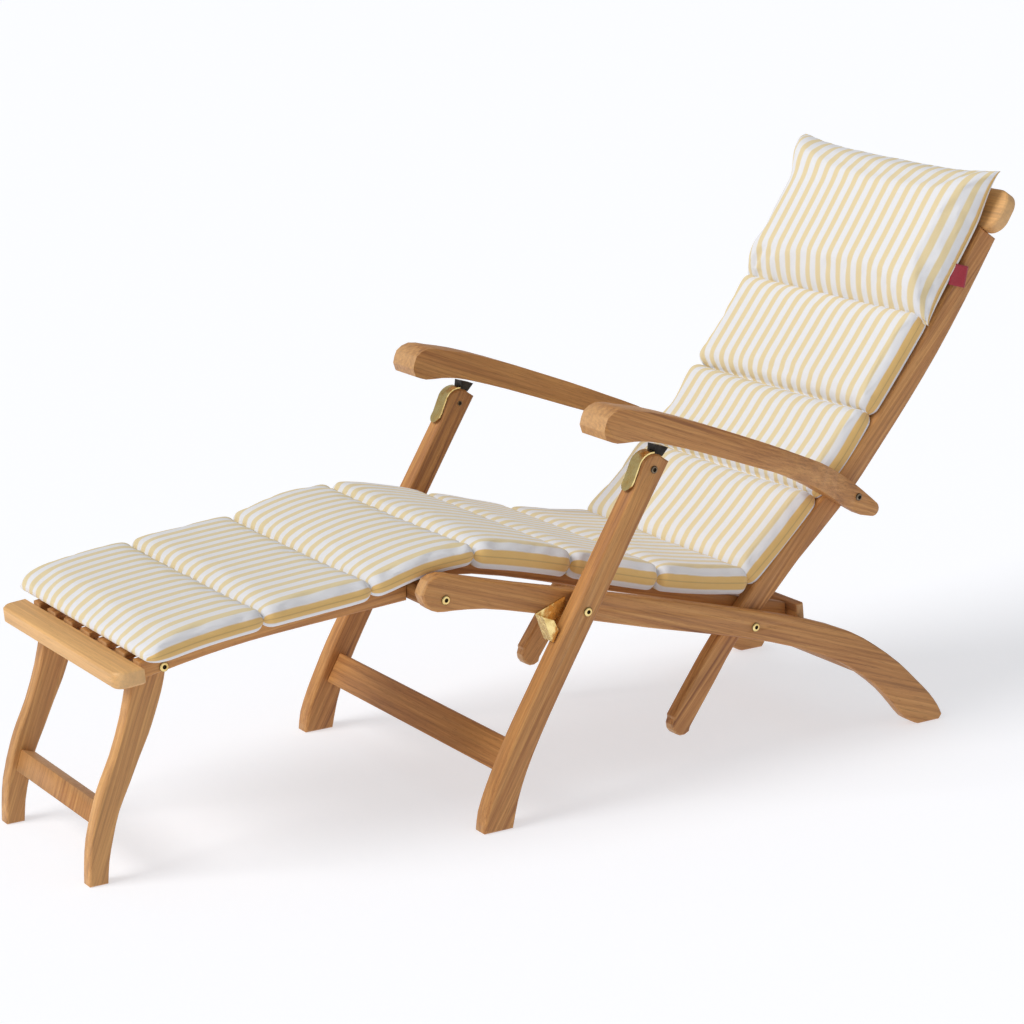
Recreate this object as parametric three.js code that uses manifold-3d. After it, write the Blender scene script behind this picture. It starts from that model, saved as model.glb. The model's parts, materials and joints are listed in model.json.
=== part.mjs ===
import * as THREE from 'three';
import Module from 'manifold-3d';

// Folding teak deck chair with a long channelled cushion, millimetres, +Z up.
// The foot end points to -Y, the head to +Y, and +X is the sitter's left.
// Side outlines are drawn as [y, z] and pushed out along X.

const wasm = await Module();
wasm.setup();

// ---- layers across the chair, measured from the centre plane ----
const gap = 0.3;
const footLegIn = 143;
const footLegOut = 168;
const footRailIn = 168.5;
const footRailOut = 192.7;
const innerRailIn = 193;
const innerRailOut = 214;
const stileIn = 214.6;
const stileOut = 238.6;
const seatRailIn = 239.5;
const seatRailOut = 265;
const postIn = 273;
const postOut = 305;
const armOut = 320;
const cushionHalf = 236;

// ---- pivots in the side view ----
const footPivot = [-748, 331];
const kneePivot = [-305, 380];
const postPivot = [-68, 333];
const backPivot = [297, 237];
const armPivot = [510, 430];
const postCrown = [56, 546];

// ---- slats ----
const slatPitch = 62;
const slatWidth = 32;
const slatThick = 12;
const slatRows = [-2, -1, 0, 1, 2];
const slatNames = ['far_right', 'right', 'middle', 'left', 'far_left'];

// ---- stock sizes ----
const legEase = 3;
const railEase = 2;
const slatEase = 1.5;
const cushionEase = 7;
const shankRadius = 4;
const bigHead = 7.7;
const smallHead = 6.3;
const boltHole = 4.4;
const boltSteps = 12;

const teak = new THREE.MeshStandardMaterial({ color: 0xa9713f, roughness: 0.6, metalness: 0 });
const brass = new THREE.MeshStandardMaterial({ color: 0xc9a24a, roughness: 0.3, metalness: 1 });
const darkSteel = new THREE.MeshStandardMaterial({ color: 0x3a332b, roughness: 0.45, metalness: 0.9 });
const cloth = new THREE.MeshStandardMaterial({ color: 0xf1e4c6, roughness: 0.9, metalness: 0 });

const group = new THREE.Group();
group.name = 'folding_deck_chair';

// Shift along Y that puts the middle of the whole chair over the origin.
const middleShift = 11.75;

function add(name, geometry, material) {
  geometry.translate(0, middleShift, 0);
  const mesh = new THREE.Mesh(geometry, material);
  mesh.name = name;
  group.add(mesh);
  return mesh;
}

// A pair of mirrored pieces: make(side) returns the geometry for side 1 (left) or -1 (right).
function addPair(name, make, material) {
  add(`${name}_left`, make(1), material);
  add(`${name}_right`, make(-1), material);
}

// ---- outlines ----
// Points on a smooth curve through the given [y, z] knots.
function curve(knots, perSpan) {
  const stations = knots.map(([y, z]) => new THREE.Vector3(y, z, 0));
  const path = new THREE.CatmullRomCurve3(stations, false, 'centripetal');
  return path.getPoints(perSpan * (knots.length - 1)).map((p) => [p.x, p.y]);
}

// Points on an arc about a centre, angles in degrees.
function arc(centre, radius, from, to, steps) {
  const points = [];
  for (let i = 0; i <= steps; i += 1) {
    const angle = THREE.MathUtils.degToRad(from + ((to - from) * i) / steps);
    points.push([centre[0] + radius * Math.cos(angle), centre[1] + radius * Math.sin(angle)]);
  }
  return points;
}

// A solid from a closed [y, z] outline, from x = low to x = high, with its edges eased by `ease`.
function sidePiece(outline, low, high, ease = 0) {
  const shape = new THREE.Shape(outline.map(([y, z]) => new THREE.Vector2(y, z)));
  const geometry = new THREE.ExtrudeGeometry(shape, {
    depth: high - low - 2 * ease,
    bevelEnabled: ease > 0,
    bevelThickness: ease,
    bevelSize: ease,
    bevelOffset: -ease,
    bevelSegments: 1,
  });
  // local x to Y, local y to Z, local z to X
  const turn = new THREE.Matrix4().set(0, 0, 1, low + ease, 1, 0, 0, 0, 0, 1, 0, 0, 0, 0, 0, 1);
  return geometry.applyMatrix4(turn);
}

// The same solid on the left (side 1) or mirrored to the right (side -1).
function layerPiece(outline, side, inner, outer, ease) {
  const low = side > 0 ? inner : -outer;
  return sidePiece(outline, low, low + outer - inner, ease);
}

// A rectangle `long` along the direction `angle` and `wide` across it, centred on [y, z].
function block(centre, long, wide, angle) {
  const c = Math.cos(THREE.MathUtils.degToRad(angle));
  const s = Math.sin(THREE.MathUtils.degToRad(angle));
  const corners = [[-1, -1], [1, -1], [1, 1], [-1, 1]].map(([i, j]) => [(i * long) / 2, (j * wide) / 2]);
  return corners.map(([u, v]) => [centre[0] + u * c - v * s, centre[1] + u * s + v * c]);
}

// Height of a curve of [y, z] points at y.
function heightAt(points, y) {
  const next = Math.max(points.findIndex((point) => y <= point[0]), 1);
  const [ya, za] = points[next - 1];
  const [yb, zb] = points[next];
  return za + ((zb - za) * (y - ya)) / (yb - ya);
}

// The stretch of a curve between two y values, leaving out points closer than `near` to its ends.
function between(points, from, to, near = 2) {
  const inside = points.filter(([y]) => y > from + near && y < to - near);
  return [[from, heightAt(points, from)], ...inside, [to, heightAt(points, to)]];
}

// A strip between an upper curve and one `depth` below it.
function strip(upper, depth) {
  const lower = upper.map(([y, z]) => [y, z - depth]).reverse();
  return [...lower, ...upper];
}

// ---- manifold joining and cutting ----
function toManifold(geometry) {
  const position = geometry.getAttribute('position');
  const index = geometry.getIndex();
  const count = index ? index.count : position.count;
  const seen = new Map();
  const vertices = [];
  const triangles = [];
  for (let i = 0; i < count; i += 1) {
    const k = index ? index.getX(i) : i;
    const key = [position.getX(k), position.getY(k), position.getZ(k)].map((v) => v.toFixed(4)).join();
    if (!seen.has(key)) {
      seen.set(key, vertices.length / 3);
      vertices.push(position.getX(k), position.getY(k), position.getZ(k));
    }
    triangles.push(seen.get(key));
  }
  const kept = [];
  for (let i = 0; i < triangles.length; i += 3) {
    const [a, b, c] = triangles.slice(i, i + 3);
    if (a !== b && b !== c && c !== a) kept.push(a, b, c);
  }
  return new wasm.Manifold(new wasm.Mesh({
    numProp: 3,
    vertProperties: new Float32Array(vertices),
    triVerts: new Uint32Array(kept),
  }));
}

function fromManifold(solid) {
  const mesh = solid.getMesh();
  const geometry = new THREE.BufferGeometry();
  geometry.setAttribute('position', new THREE.BufferAttribute(new Float32Array(mesh.vertProperties), 3));
  geometry.setIndex(new THREE.BufferAttribute(new Uint32Array(mesh.triVerts), 1));
  geometry.computeVertexNormals();
  return geometry;
}

// ---- turned pieces ----
// A solid of revolution about X through [y, z]; the profile is [radius, x].
function turned(profile, centre, side, steps) {
  const points = profile.map(([r, x]) => new THREE.Vector2(r, side * x));
  const geometry = new THREE.LatheGeometry(side > 0 ? points : points.reverse(), steps);
  // the lathe axis (local y) to X
  const turn = new THREE.Matrix4().set(0, 1, 0, 0, 0, 0, 1, centre[0], 1, 0, 0, centre[1], 0, 0, 0, 1);
  return geometry.applyMatrix4(turn);
}

// A bolt: its shank from x = start to `face`, and a rounded head with a socket outside the face.
function bolt(centre, side, start, face, head = bigHead) {
  const rise = 2.6;
  const socket = 2.6;
  const round = 1.6;
  const profile = [
    [0, start],
    [shankRadius, start],
    [shankRadius, face + gap],
    [head, face + gap],
    [head, face + 0.5 * rise],
    [head - round, face + rise],
    [socket + 0.5 * round, face + rise],
    [socket, face + 0.4 * rise],
    [0, face + 0.4 * rise],
  ];
  return turned(profile, centre, side, boltSteps);
}

// A hole for a bolt, a little larger than its shank and running past both faces.
function drill(geometry, centre, inner, outer, side) {
  const low = inner - 1;
  const high = outer + 1;
  const hole = turned([[0, low], [boltHole, low], [boltHole, high], [0, high]], centre, side, boltSteps);
  return fromManifold(toManifold(geometry).subtract(toManifold(hole)));
}

// ---- seat rails: one bent piece each, from the rounded knee down to the rear foot ----
const railTop = curve([
  [-347, 393], [-336, 414], [-312, 421], [-280, 413], [-171, 384], [-77, 361], [100, 316],
  [304, 262], [411, 230], [505, 193], [557, 162], [614, 120], [654, 83], [686, 52], [707, 26], [717, 8],
], 2);
const railUnder = curve([
  [655, 3], [634, 15], [610, 41], [579, 74], [533, 111], [487, 141], [392, 184], [265, 224],
  [81, 271], [-150, 334], [-234, 354], [-290, 360], [-318, 362], [-337, 372], [-347, 391],
], 2);
const railOutline = [...railTop, [711, 0], [663, 0], ...railUnder.slice(0, -1)].reverse();
addPair('seat_rail', (side) => {
  const drilled = (rail, pivot) => drill(rail, pivot, seatRailIn, seatRailOut, side);
  const rail = layerPiece(railOutline, side, seatRailIn, seatRailOut, legEase);
  return [kneePivot, postPivot, backPivot].reduce(drilled, rail);
}, teak);

// ---- inner rails of the seat, arched, with the slats between them ----
const seatTop = curve([
  [-312, 420], [-268, 423], [-225, 418], [-117, 391], [-58, 373],
  [50, 343], [150, 316], [250, 291], [350, 264], [400, 250],
], 2);
const seatUnder = curve([
  [-312, 405], [-225, 397], [-117, 371], [-58, 354], [50, 324],
  [150, 297], [250, 269], [350, 240], [400, 227],
], 2);
const innerOutline = [...seatUnder, ...[...seatTop].reverse()];
addPair('inner_rail', (side) => layerPiece(innerOutline, side, innerRailIn, innerRailOut, railEase), teak);

// A board or bar from side to side, up to `reach` from the centre plane and clear of it by the gap.
function crossPiece(outline, reach, ease) {
  return sidePiece(outline, gap - reach, reach - gap, ease);
}

// Five equal lengthwise slats of one side outline, named from the sitter's right to the left.
function addSlats(name, outline) {
  slatRows.forEach((row, i) => {
    const low = row * slatPitch - slatWidth / 2;
    add(`${name}_${slatNames[i]}`, sidePiece(outline, low, low + slatWidth, slatEase), teak);
  });
}

const seatStart = -312;
const seatFront = -272;
const seatRear = 399.5;
const seatFrontDepth = 24;
const frontRail = strip(between(seatTop, seatStart, seatFront), seatFrontDepth);
add('seat_front_rail', crossPiece(frontRail, innerRailIn, railEase), teak);
addSlats('seat_slat', strip(between(seatTop, seatFront + gap, seatRear - gap), slatThick));

// ---- cross pieces between the rear legs ----
add('rear_cross_board', crossPiece(block([414, 222], 62, 16, 97), seatRailIn, railEase), teak);
add('rear_stretcher', crossPiece(block([551, 120], 56, 20, 142), seatRailIn, railEase), teak);

// ---- front legs: bent posts outside the rails, joined by a stretcher ----
const postFront = curve([
  [-259, 0], [-255, 30], [-240, 70], [-226, 100], [-201, 150],
  [-172, 200], [-95, 330], [-20, 455], [20, 522],
], 2);
const postBack = curve([
  [86, 555], [53, 500], [-10, 393], [-60, 308], [-119, 207], [-155, 142], [-180, 90], [-196, 45], [-206, 0],
], 2);
const postRound = 26;
const postTop = arc([postCrown[0], postCrown[1] - 1], postRound, 140, 40, 5);
const postOutline = [...postFront, ...postTop, ...postBack].reverse();
addPair('post', (side) => {
  const drilled = (post, centre) => drill(post, centre, postIn, postOut, side);
  return [postPivot, postCrown].reduce(drilled, layerPiece(postOutline, side, postIn, postOut, legEase));
}, teak);
add('post_stretcher', crossPiece(block([-196, 106], 54, 22, 61), postIn, legEase), teak);

// Brass strap: up the front face of the post top and over its rounded end, its lower end round.
const postMiddle = (postIn + postOut) / 2;
const strapHalf = 13;
const strapThick = 2.4;
const strapFoot = 516;
const strapRound = postRound + 2 * gap;
const strapInner = [[11, 514], [21, 530], ...arc([postCrown[0], postCrown[1] - 1], strapRound, 150, 84, 5)];
const strapOuter = [
  [8.9, 515.3], [18.9, 531.3],
  ...arc([postCrown[0], postCrown[1] - 1], strapRound + strapThick, 150, 84, 5),
];
const strapOutline = [...strapInner, ...strapOuter.reverse()];
const strapDeep = 200;
const strapTop = 600;
const inPost = (outline, half) => (side) => layerPiece(outline, side, postMiddle - half, postMiddle + half);
addPair('brass_strap', (side) => {
  const front = new THREE.Shape();
  front.absarc(side * postMiddle, strapFoot + strapHalf, strapHalf + 1, Math.PI, 2 * Math.PI, false);
  front.lineTo(side * postMiddle + strapHalf + 1, strapTop);
  front.lineTo(side * postMiddle - strapHalf - 1, strapTop);
  const round = new THREE.ExtrudeGeometry(front, { depth: strapDeep, bevelEnabled: false, curveSegments: 8 });
  round.rotateX(Math.PI / 2);
  round.translate(0, strapDeep, 0);
  return fromManifold(toManifold(inPost(strapOutline, strapHalf)(side)).intersect(toManifold(round)));
}, brass);
addPair('post_pin', (side) => bolt(postCrown, side, postIn - 1, postOut, smallHead), darkSteel);

// Black catch on the post top, in the track under the armrest.
const catchHalf = 11;
const catchFoot = arc([postCrown[0], postCrown[1] - 1], strapRound + gap, 78, 45, 4).reverse();
const catchOutline = [...catchFoot, [63, 584], [87, 577]];
addPair('arm_catch', inPost(catchOutline, catchHalf), darkSteel);
addPair('post_bolt', (side) => bolt(postPivot, side, seatRailIn + 1, postOut), brass);

// Brass stop plates on the outer faces of the seat rails, each with a fold beside the post.
const stopPlate = [[-142, 332], [-86, 352], [-86, 340], [-102, 296], [-118, 284], [-122, 286]];
const stopFold = [[-142, 332], [-122, 324], [-113, 306], [-123, 288], [-126, 290]];
const plateThick = 2.1;
const foldReach = 25;
addPair('stop_plate', (side) => {
  const face = seatRailOut + gap;
  const plate = layerPiece(stopPlate, side, face, face + plateThick);
  const fold = layerPiece(stopFold, side, face + plateThick / 2, seatRailOut + foldReach);
  return fromManifold(toManifold(plate).add(toManifold(fold)));
}, brass);

// ---- back: two bent stiles, a headrail, a lower rail and slats ----
const stileBack = curve([
  [187, 76], [235, 144], [284, 213], [322, 247], [357, 279], [406, 329], [494, 408],
  [582, 508], [638, 575], [697, 651], [756, 737], [819, 836.6],
], 2);
const stileFront = curve([
  [784, 859.6], [720, 761], [662, 677], [604, 601], [548, 534], [462, 438], [374, 357],
  [321, 305], [274, 254], [238, 219], [193, 158], [152, 99],
], 2);
const stileFoot = arc([171, 84], 21, 150, 310, 6);
const stileOutline = [...stileBack, ...stileFront, ...stileFoot];
addPair('back_stile', (side) => {
  const drilled = (stile, centre) => drill(stile, centre, stileIn, stileOut, side);
  return [backPivot, armPivot].reduce(drilled, layerPiece(stileOutline, side, stileIn, stileOut, legEase));
}, teak);

const headAngle = 58;
const headCentre = [816, 883.6];
const headHalf = 266;
const headTall = 74;
const headThick = 25;
const headCorner = 28;

// A board `thick` deep from a plan outline, eased along its edges and turned up by `angle`.
function board(shape, thick, angle, centre) {
  const geometry = new THREE.ExtrudeGeometry(shape, {
    depth: thick - 2 * legEase,
    bevelThickness: legEase,
    bevelSize: legEase,
    bevelOffset: -legEase,
    bevelSegments: 1,
    curveSegments: 5,
  });
  geometry.translate(0, 0, legEase);
  geometry.rotateX(THREE.MathUtils.degToRad(angle));
  return geometry.translate(0, centre[0], centre[1]);
}

// A rectangle 2x by 2y with rounded corners.
function roundedRectangle(x, y, corner) {
  const shape = new THREE.Shape();
  [[1, -1], [1, 1], [-1, 1], [-1, -1]].forEach(([i, j], quarter) => {
    const from = (Math.PI / 2) * (quarter - 1);
    shape.absarc(i * (x - corner), j * (y - corner), corner, from, from + Math.PI / 2, false);
  });
  return shape;
}
const headOutline = roundedRectangle(headHalf, headTall / 2, headCorner);
const headSlope = THREE.MathUtils.degToRad(headAngle);
const headBack = [
  headCentre[0] + (headThick / 2) * Math.sin(headSlope),
  headCentre[1] - (headThick / 2) * Math.cos(headSlope),
];
add('headrail', board(headOutline, headThick, headAngle, headBack), teak);

// The lower rail and the slats lie flush with the front of the stiles: a strip along the stiles'
// front face, pushed back by [y, z].
const backFace = [...stileFront].reverse();
function backStrip(from, to, back) {
  const face = between(backFace, from, to, 4);
  return [...face, ...face.map(([y, z]) => [y + back[0], z + back[1]]).reverse()].reverse();
}
const lowerFrom = 388;
const lowerTo = 422;
const slatEnd = 782;
add('back_lower_rail', crossPiece(backStrip(lowerFrom, lowerTo, [15, -15]), stileIn, railEase), teak);
addSlats('back_slat', backStrip(lowerTo + 0.5, slatEnd, [9, -7.5]));
addPair('back_bolt', (side) => bolt(backPivot, side, stileIn + 1, seatRailOut), brass);

// ---- armrests: curved in the side view and in plan ----
const armTop = curve([
  [-50, 622], [-43, 643], [-20, 654], [13, 648], [61, 637], [133, 614], [266, 565], [345, 533],
  [410, 506], [460, 480], [505, 451], [532, 430],
], 2);
const armTip = arc([543, 404.5], 12.5, 50, -110, 7);
const armUnder = curve([
  [516, 398], [478, 420], [430, 448], [390, 470], [320, 501], [267, 520],
  [138, 566], [69, 588], [39, 596], [8, 600], [-25, 601], [-45, 608],
], 2);
const armSide = [...armTop, ...armTip, ...armUnder].reverse();
const armEase = 4;
const armRear = 264;
const armPlanOut = curve([
  [armOut, -60], [armOut, 180], [317, 250], [308, 330], [292, 400], [273, 455], [264.5, 500], [armRear, 560],
], 2);
const armPlanIn = curve([[240, 560], [240, 400], [242, 330], [247, 250], [251, 150], [252, -60]], 1);
const armFloor = 330;
const armHeight = 400;
addPair('armrest', (side) => {
  const slab = layerPiece(armSide, side, stileOut - armEase, armOut + armEase, armEase);
  const corners = [...armPlanOut, ...armPlanIn].map(([x, y]) => new THREE.Vector2(side * x, y));
  const plan = new THREE.ExtrudeGeometry(new THREE.Shape(corners), { depth: armHeight, bevelEnabled: false });
  plan.translate(0, 0, armFloor);
  const arm = fromManifold(toManifold(slab).intersect(toManifold(plan)));
  return drill(arm, armPivot, stileOut, armOut, side);
}, teak);
addPair('arm_bolt', (side) => bolt(armPivot, side, stileIn + 1, armRear + gap, smallHead), darkSteel);

// ---- footrest: two arched side rails, a front rail, a rear rail on the knee pivots, and slats ----
const footFront = -787;
const footRear = -331;
const footTop = curve([
  [footFront, 344], [-743, 351], [-680, 361], [-605, 371], [-519, 379], [-432, 386], [footRear, 390],
], 2);
const footUnder = curve([
  [footFront, 317], [-743, 325], [-680, 336], [-605, 346], [-519, 353], [-432, 359], [footRear, 366],
], 2);
const footOutline = [...footUnder, ...[...footTop].reverse()];
addPair('footrest_rail', (side) => {
  const rail = layerPiece(footOutline, side, footRailIn, footRailOut, railEase);
  return drill(rail, footPivot, footRailIn, footRailOut, side);
}, teak);

// The rear rail reaches to the seat rails and is rounded about the knee pivots, so it turns clear
// of the seat's front rail.
const kneeBolt = 216;
const rearRound = 14;
const rearBar = [...arc(kneePivot, rearRound, -80, 80, 6), [-325, 393], [-330, 388], [-330, 371], [-325, 366]];
const rearDrilled = (rail, side) => drill(rail, kneePivot, kneeBolt - 1, seatRailIn, side);
add('footrest_rear_rail', [1, -1].reduce(rearDrilled, crossPiece(rearBar, seatRailIn, 0)), teak);
addPair('knee_bolt', (side) => bolt(kneePivot, side, kneeBolt, seatRailOut), brass);

// The front rail is a board with rounded front corners, a little lower at its front edge.
const frontHalf = 214;
const frontDeep = 46.5;
const frontThick = 26;
const frontCorner = 20;
const frontFall = 5;
const frontShape = new THREE.Shape();
frontShape.moveTo(-frontHalf, 0);
frontShape.lineTo(-frontHalf, frontCorner - frontDeep);
for (const side of [-1, 1]) {
  const from = (Math.PI / 2) * (side > 0 ? 3 : 2);
  const middle = [side * (frontHalf - frontCorner), frontCorner - frontDeep];
  frontShape.absarc(middle[0], middle[1], frontCorner, from, from + Math.PI / 2, false);
}
frontShape.lineTo(frontHalf, 0);
const frontBoard = board(frontShape, frontThick, frontFall, [footFront - 0.5, 317]);

// A lip behind the front rail, under the ends of the slats and between the foot legs.
const lipHalf = footLegIn - 2;
const lip = sidePiece([[-800, 322], [-766, 322], [-766, 331], [-800, 331]], -lipHalf, lipHalf);
add('footrest_front_rail', fromManifold(toManifold(frontBoard).add(toManifold(lip))), teak);
addSlats('foot_slat', strip(between(footTop, footFront + gap, footRear - gap), slatThick));

// ---- foot legs with their stretcher ----
const legFront = curve([
  [-868, 0], [-867, 30], [-863, 70], [-847, 130], [-836, 158], [-820, 193], [-801, 250], [-790, 300],
], 2);
const legBack = curve([
  [-736, 304], [-741, 285], [-753, 250], [-764, 222], [-780, 189],
  [-798, 149], [-816, 110], [-827, 71], [-835, 34], [-838, 0],
], 2);
const legRound = 17;
const legOutline = [...legFront, [-784, 318], ...arc(footPivot, legRound, 150, -25, 7), ...legBack].reverse();
addPair('foot_leg', (side) => {
  const leg = layerPiece(legOutline, side, footLegIn, footLegOut, railEase);
  return drill(leg, footPivot, footLegIn, footLegOut, side);
}, teak);
add('foot_stretcher', crossPiece(block([-834, 101], 34, 24, 72), footLegIn, legEase), teak);
addPair('foot_bolt', (side) => bolt(footPivot, side, footLegIn + 1, footRailOut), brass);

// ---- cushion: foot part, seat part, back part and a thicker head pillow ----
// A padded slab lifted a little off a base curve, thinner by `ends` on each face at its two ends.
function cushion(base, thick, lift, ends) {
  const last = base.length - 1;
  const at = (i, height) => {
    const a = base[Math.max(i - 1, 0)];
    const b = base[Math.min(i + 1, last)];
    const long = Math.hypot(b[0] - a[0], b[1] - a[1]);
    return [base[i][0] - ((b[1] - a[1]) * height) / long, base[i][1] + ((b[0] - a[0]) * height) / long];
  };
  const taper = (i) => (i === 0 || i === last ? ends : 0);
  const lower = base.map((p, i) => at(i, lift + taper(i)));
  const upper = base.map((p, i) => at(i, lift + thick - taper(i))).reverse();
  return sidePiece([...lower, ...upper], -cushionHalf, cushionHalf, cushionEase);
}
const padThick = 42;
const pillowThick = 68;
const padTaper = 8;
const pillowTaper = 16;
const footBase = curve([
  [-787, 347], [-743, 351], [-680, 361], [-605, 371], [-519, 379],
  [-432, 388], [-380, 399], [-318, 422], [-240, 425],
], 1);
add('footrest_cushion', cushion(footBase, padThick, 1.2, padTaper), cloth);
const seatBase = curve([
  [-224, 419], [-117, 391], [-58, 373], [50, 343], [150, 316], [250, 291], [296, 282],
], 1);
add('seat_cushion', cushion(seatBase, padThick, 1.2, padTaper), cloth);
const backBase = curve([[362, 345], [462, 438], [548, 534], [604, 601], [662, 677]], 2);
add('back_cushion', cushion(backBase, padThick, 1.6, padTaper), cloth);
const pillowBase = curve([[672, 692], [720, 761], [783, 858], [822, 921]], 2);
add('head_pillow', cushion(pillowBase, pillowThick, 4, pillowTaper), cloth);

export default group;
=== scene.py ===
# Folding teak deck chair with a long striped cushion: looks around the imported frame. Metres, +Z up.
import json
import math
from functools import partial
import bpy
import numpy as np
from mathutils import Matrix, Vector


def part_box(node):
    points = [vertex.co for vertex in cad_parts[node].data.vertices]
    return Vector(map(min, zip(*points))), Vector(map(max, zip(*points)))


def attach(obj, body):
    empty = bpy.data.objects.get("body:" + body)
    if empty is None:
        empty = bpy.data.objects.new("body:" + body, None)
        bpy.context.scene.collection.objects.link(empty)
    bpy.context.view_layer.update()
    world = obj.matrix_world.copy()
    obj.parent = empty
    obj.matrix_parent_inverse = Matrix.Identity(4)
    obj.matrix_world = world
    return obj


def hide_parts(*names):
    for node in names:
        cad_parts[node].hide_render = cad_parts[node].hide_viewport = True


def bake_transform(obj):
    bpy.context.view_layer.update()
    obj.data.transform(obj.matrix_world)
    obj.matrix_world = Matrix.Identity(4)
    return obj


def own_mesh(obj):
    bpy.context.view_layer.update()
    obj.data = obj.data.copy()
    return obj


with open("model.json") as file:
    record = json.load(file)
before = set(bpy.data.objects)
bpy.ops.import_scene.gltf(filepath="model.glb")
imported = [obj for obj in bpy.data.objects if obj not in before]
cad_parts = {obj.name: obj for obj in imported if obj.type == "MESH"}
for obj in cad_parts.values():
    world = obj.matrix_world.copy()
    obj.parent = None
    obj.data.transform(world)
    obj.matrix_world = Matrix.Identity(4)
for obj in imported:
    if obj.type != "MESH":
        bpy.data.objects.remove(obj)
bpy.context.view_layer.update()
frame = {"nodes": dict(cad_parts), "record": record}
nodes = frame["nodes"]
record = frame["record"]
slotOf = {part["node"]: part["material_slot"] for part in record["subparts"]}
print("frame loaded:", len(nodes), "nodes")


# ---------- node helpers ----------
def addNode(tree, kind, inputs=None, **settings):
    # one node with its settings, its inputs linked to sockets or set to values
    node = tree.nodes.new(kind)
    for name, value in settings.items():
        setattr(node, name, value)
    for name, value in (inputs or {}).items():
        if isinstance(value, bpy.types.NodeSocket):
            tree.links.new(value, node.inputs[name])
        else:
            node.inputs[name].default_value = value
    return node


def maths(tree, operation, first, second=0.0, third=None):
    # operation on two or three numbers or sockets
    values = {0: first, 1: second}
    if third is not None:
        values[2] = third
    return addNode(tree, "ShaderNodeMath", values, operation=operation).outputs[0]


def vectorMaths(tree, operation, first, second):
    # operation on two vectors, axis by axis
    return addNode(tree, "ShaderNodeVectorMath", {0: first, 1: second}, operation=operation).outputs[0]


def apartOf(tree, vector):
    # the three numbers of a vector, by the names X, Y and Z
    return addNode(tree, "ShaderNodeSeparateXYZ", {"Vector": vector}).outputs


def noiseOver(tree, place, scale, detail):
    # plain noise over a place, scale waves to the metre
    inputs = {"Vector": place, "Scale": scale, "Detail": detail}
    return addNode(tree, "ShaderNodeTexNoise", inputs).outputs["Fac"]


def rampOf(tree, factor, stops):
    # factor looked up between (place, colour or grey level) stops
    node = addNode(tree, "ShaderNodeValToRGB", {"Fac": factor})
    while len(node.color_ramp.elements) < len(stops):
        node.color_ramp.elements.new(0.5)
    for element, (place, colour) in zip(node.color_ramp.elements, stops):
        element.position = place
        element.color = (*(colour if isinstance(colour, tuple) else (colour,) * 3), 1.0)
    return node.outputs["Color"]


def mixColours(tree, factor, first, second):
    # first and second mixed, with sockets or colours for either
    node = addNode(tree, "ShaderNodeMix", data_type="RGBA", blend_type="MIX")
    for index, value in ((0, factor), (6, first), (7, second)):
        if isinstance(value, bpy.types.NodeSocket):
            tree.links.new(value, node.inputs[index])
        else:
            node.inputs[index].default_value = (*value, 1.0) if isinstance(value, tuple) else value
    return node.outputs[2]


def bumpOf(tree, height, strength, distance, under=None):
    # normal of a bump of this height, laid over an earlier normal where there is one
    inputs = {"Height": height, "Strength": strength, "Distance": distance}
    if under is not None:
        inputs["Normal"] = under
    return addNode(tree, "ShaderNodeBump", inputs).outputs["Normal"]


def newGroup(name, inputs, outputs):
    # an empty shader group with the given sockets, as (name, type) and for an input its default
    group = bpy.data.node_groups.new(name, "ShaderNodeTree")
    for label, kind, value in inputs:
        socket = group.interface.new_socket(label, in_out="INPUT", socket_type=kind)
        if value is not None:
            socket.default_value = value
    for label, kind in outputs:
        group.interface.new_socket(label, in_out="OUTPUT", socket_type=kind)
    entry = group.nodes.new("NodeGroupInput")
    leave = group.nodes.new("NodeGroupOutput")
    return group, entry.outputs, leave.inputs


def newMaterial(name):
    # a material with only its output and a Principled shader, its node tree and the shader
    material = bpy.data.materials.new(name)
    material.use_nodes = True
    return material, material.node_tree, material.node_tree.nodes["Principled BSDF"]


# ---------- teak ----------
teak = {
    "pale": (0.61, 0.300, 0.092),
    "mid": (0.42, 0.172, 0.048),
    "dark": (0.175, 0.060, 0.021),
    "poreTone": (0.13, 0.055, 0.022),
    "endGrain": (0.60, 0.385, 0.19),
    "paleTone": (0.70, 0.49, 0.215),
    "ringWidth": 0.0062,
    "ringBend": 0.03,            # how far the rings waver
    "axisSwing": (0.03, 0.05),   # the rings' axis, moved off the board in Y and Z by the seed
    "axisMiddle": (0.05, 0.02),
    "roughness": 0.59,
    "coat": 0.08,
    "relief": 0.0006,
    "endSmooth": 0.8,            # share of the relief that is missing on the ends
    "edgeRound": 0.0014,
    "toneSpread": 0.07,          # change of brightness from board to board
    "paleLift": 0.32,            # brighter by this at a pale share of 1
    # these pieces are made paler and yellower over every face, by these shares
    "paler": {"headrail": 0.5, "footrest_front_rail": 0.62, "foot_leg_left": 0.25, "foot_leg_right": 0.2},
}
# how strongly each mark covers the board
markShare = {"ring": 0.33, "slow": 0.42, "line": 0.32, "pore": 0.45, "pale": 0.55, "end": 0.45}
# how far it stands out of the surface, as a share of the relief, and how much rougher it is
markHeight = {"ring": -0.2, "fine": 0.5, "pore": -0.6}
markRough = {"streak": -0.18, "pore": 0.15}
# each noise of the grain: waves to the metre along X, Y and Z, detail, roughness and seed offset
grainNoises = {
    "slow": ((1.6, 14.0, 14.0), 2.0, 0.5, 1.7),
    "waver": ((3.2, 20.0, 20.0), 3.0, 0.5, 4.1),
    "streak": ((2.6, 150.0, 150.0), 5.0, 0.62, 7.3),
    "fine": ((14.0, 620.0, 620.0), 3.0, 0.6, 9.9),
    "pore": ((55.0, 1500.0, 1500.0), 1.0, 0.5, 12.4),
}


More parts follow.
